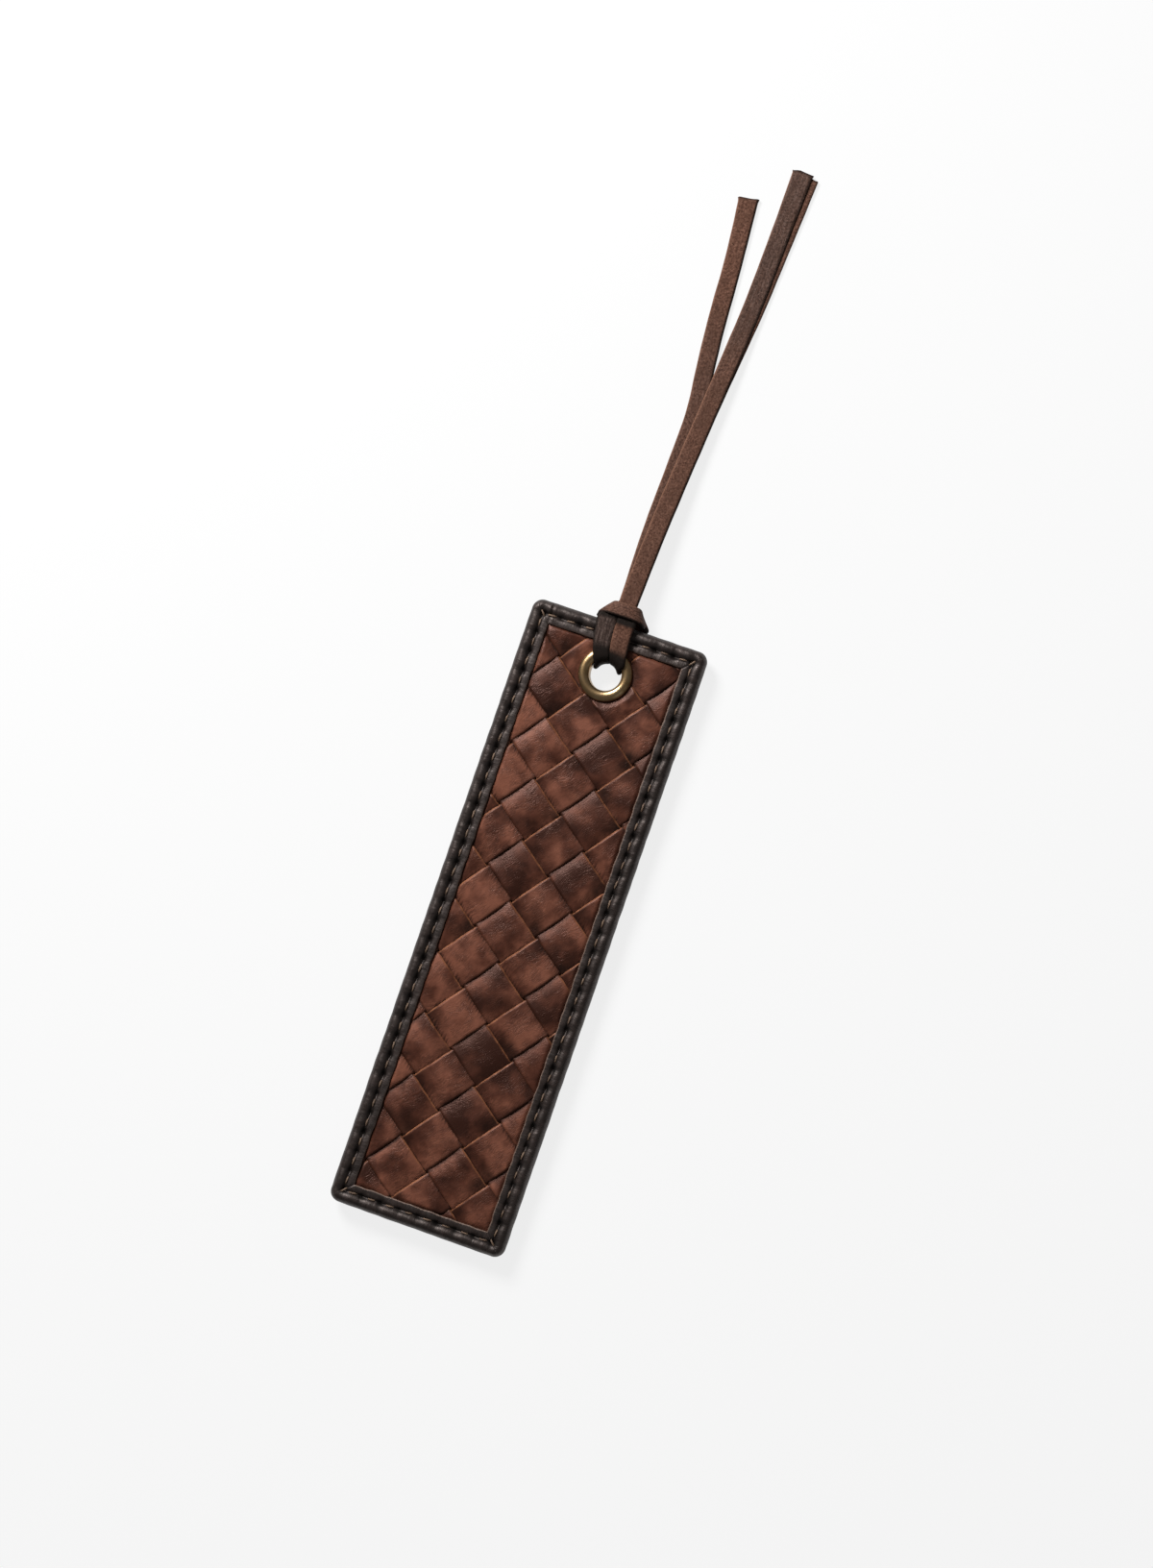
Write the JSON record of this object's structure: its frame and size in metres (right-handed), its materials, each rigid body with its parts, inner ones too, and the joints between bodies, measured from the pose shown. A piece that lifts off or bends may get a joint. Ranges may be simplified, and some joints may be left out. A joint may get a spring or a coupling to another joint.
{
  "type": "leather bookmark",
  "caption": "Flat bookmark of diagonally plaited leather strips on a lined board, with a stitched edge binding, a brass eyelet and a flat leather lace hitched through it.",
  "frame": {"origin": "middle of the panel, halfway through its thickness", "axes": "+X across the panel, to the right seen from the front, +Y along it towards the lace, +Z out of the plaited front"},
  "size_m": [0.04, 0.2423, 0.0073],
  "materials": {
    "strip_leather": "worn brown leather with fine wrinkles and raw cut edges",
    "binding_leather": "near-black brown leather, soft sheen",
    "lining_leather": "plain dark brown leather",
    "core_board": "grey-brown board, hidden",
    "thread": "tan waxed thread",
    "antique_brass": "antique brass, brushed and dulled",
    "lace_leather": "mottled matt brown leather, cut edges darker"
  },
  "bodies": {
    "panel": {"back_lining": "lining_leather", "back_stitching": "thread", "core_board": "core_board", "edge_binding": "binding_leather", "eyelet": "antique_brass", "eyelet_washer": "antique_brass", "falling_strip_01": "strip_leather", "falling_strip_02": "strip_leather", "falling_strip_03": "strip_leather", "falling_strip_04": "strip_leather", "falling_strip_05": "strip_leather", "falling_strip_06": "strip_leather", "falling_strip_07": "strip_leather", "falling_strip_08": "strip_leather", "falling_strip_09": "strip_leather", "falling_strip_10": "strip_leather", "falling_strip_11": "strip_leather", "falling_strip_12": "strip_leather", "falling_strip_13": "strip_leather", "falling_strip_14": "strip_leather", "front_stitching": "thread", "lace_hitch": "lace_leather", "rising_strip_01": "strip_leather", "rising_strip_02": "strip_leather", "rising_strip_03": "strip_leather", "rising_strip_04": "strip_leather", "rising_strip_05": "strip_leather", "rising_strip_06": "strip_leather", "rising_strip_07": "strip_leather", "rising_strip_08": "strip_leather", "rising_strip_09": "strip_leather", "rising_strip_10": "strip_leather", "rising_strip_11": "strip_leather"},
    "right_tail": {"lace_tail_right": "lace_leather"},
    "left_tail": {"lace_tail_left": "lace_leather"}
  },
  "joints": [
    {"name": "tails_fold", "type": "hinge", "parent": "panel", "child": "right_tail", "pos_m": [0, 0.0745, 0.0009], "axis": [1, 0, 0], "range_deg": [-80, 90]},
    {"name": "tails_spread", "type": "hinge", "parent": "right_tail", "child": "left_tail", "pos_m": [-0.0009, 0.0757, 0.0009], "axis": [0, 0, 1], "range_deg": [0, 35]}
  ]
}
